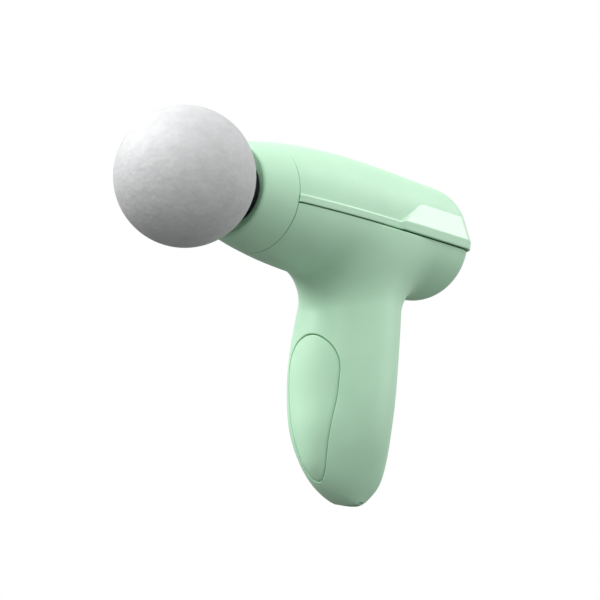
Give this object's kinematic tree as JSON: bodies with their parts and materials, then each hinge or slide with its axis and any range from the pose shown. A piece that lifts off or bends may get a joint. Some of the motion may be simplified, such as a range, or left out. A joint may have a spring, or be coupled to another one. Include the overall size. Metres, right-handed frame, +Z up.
{
  "type": "massage gun",
  "caption": "Hand-held percussion massage gun: a round foam head on a reciprocating plunger, a tapered barrel and a round handle with a grip pad.",
  "frame": {"origin": "on the handle's centre line at mid grip, where a hand holds it, 58 mm below the barrel's axis", "axes": "+X along the barrel from the foam head towards the rear, +Z up from the handle's foot towards the barrel, +Y across, normal to the plane of symmetry"},
  "size_m": [0.1696, 0.0498, 0.1293],
  "materials": {
    "mint": "satin moulded plastic, mint green",
    "soft_mint": "soft-touch moulding, mint green",
    "foam": "white skinned foam with a fine grain",
    "grey_plastic": "dark grey plastic",
    "black_plastic": "black plastic",
    "white_plastic": "white sliding plastic",
    "rubber": "black rubber",
    "steel": "machined steel",
    "aluminium": "machined and cast aluminium",
    "copper": "enamelled copper wire",
    "magnet": "bonded magnet",
    "board": "green circuit board",
    "chip": "black moulded component",
    "cell": "blue shrink sleeve",
    "red_wire": "red insulated wire",
    "light": "milky light guide"
  },
  "bodies": {
    "housing": {"main_housing": "mint", "top_cover": "mint", "nose_collar": "mint", "front_grip_pad": "soft_mint", "rear_bezel": "grey_plastic", "bulk_capacitor": "grey_plastic", "battery_cap_top": "black_plastic", "battery_cap_bottom": "black_plastic", "battery_lead_minus": "black_plastic", "front_bush": "white_plastic", "rear_bush": "white_plastic", "motor_lead": "white_plastic", "dust_seal": "rubber", "frame_grommet_1": "rubber", "frame_grommet_2": "rubber", "frame_grommet_3": "rubber", "frame_grommet_4": "rubber", "stator_core": "steel", "motor_bearing_1": "steel", "motor_bearing_2": "steel", "usb_port": "steel", "motor_screw_1": "steel", "motor_screw_2": "steel", "motor_screw_3": "steel", "frame_screw_1": "steel", "frame_screw_2": "steel", "frame_screw_3": "steel", "frame_screw_4": "steel", "drive_frame": "aluminium", "motor_base": "aluminium", "stator_winding": "copper", "control_pcb": "board", "charge_pcb": "board", "tact_switch": "chip", "controller_chip": "chip", "driver_chip": "chip", "battery_cell_1": "cell", "battery_cell_2": "cell", "battery_cell_3": "cell", "battery_lead_plus": "red_wire", "light_ring": "light", "led_1": "light", "led_2": "light", "led_3": "light", "led_4": "light"},
    "rotor": {"motor_shaft": "steel", "rotor_bell": "steel", "rotor_magnets": "magnet", "crank_disc": "steel", "crank_bearing": "steel"},
    "piston": {"plunger": "aluminium", "yoke": "white_plastic", "yoke_pin": "steel"},
    "head": {"foam_ball": "foam", "head_stem": "grey_plastic", "head_o_ring": "rubber"},
    "button": {"power_button": "mint"}
  },
  "joints": [
    {"name": "crank_spin", "type": "hinge", "parent": "housing", "child": "rotor", "pos_m": [0.0005, 0, 0.058], "axis": [0, 0, 1], "range_deg": [-90, 90]},
    {"name": "piston_slide", "type": "slide", "parent": "housing", "child": "piston", "axis": [-1, 0, 0], "range_m": [-0.0036, 0.0036]},
    {"name": "head_pull", "type": "slide", "parent": "piston", "child": "head", "axis": [-1, 0, 0], "range_m": [0, 0.028]},
    {"name": "button_press", "type": "slide", "parent": "housing", "child": "button", "axis": [-1, 0, 0], "range_m": [0, 0.0006], "stiffness_N_per_m": 2000}
  ],
  "couplings": [
    {"joint": "piston_slide", "follows": "crank_spin", "m_per_rad": 0.0022282}
  ]
}
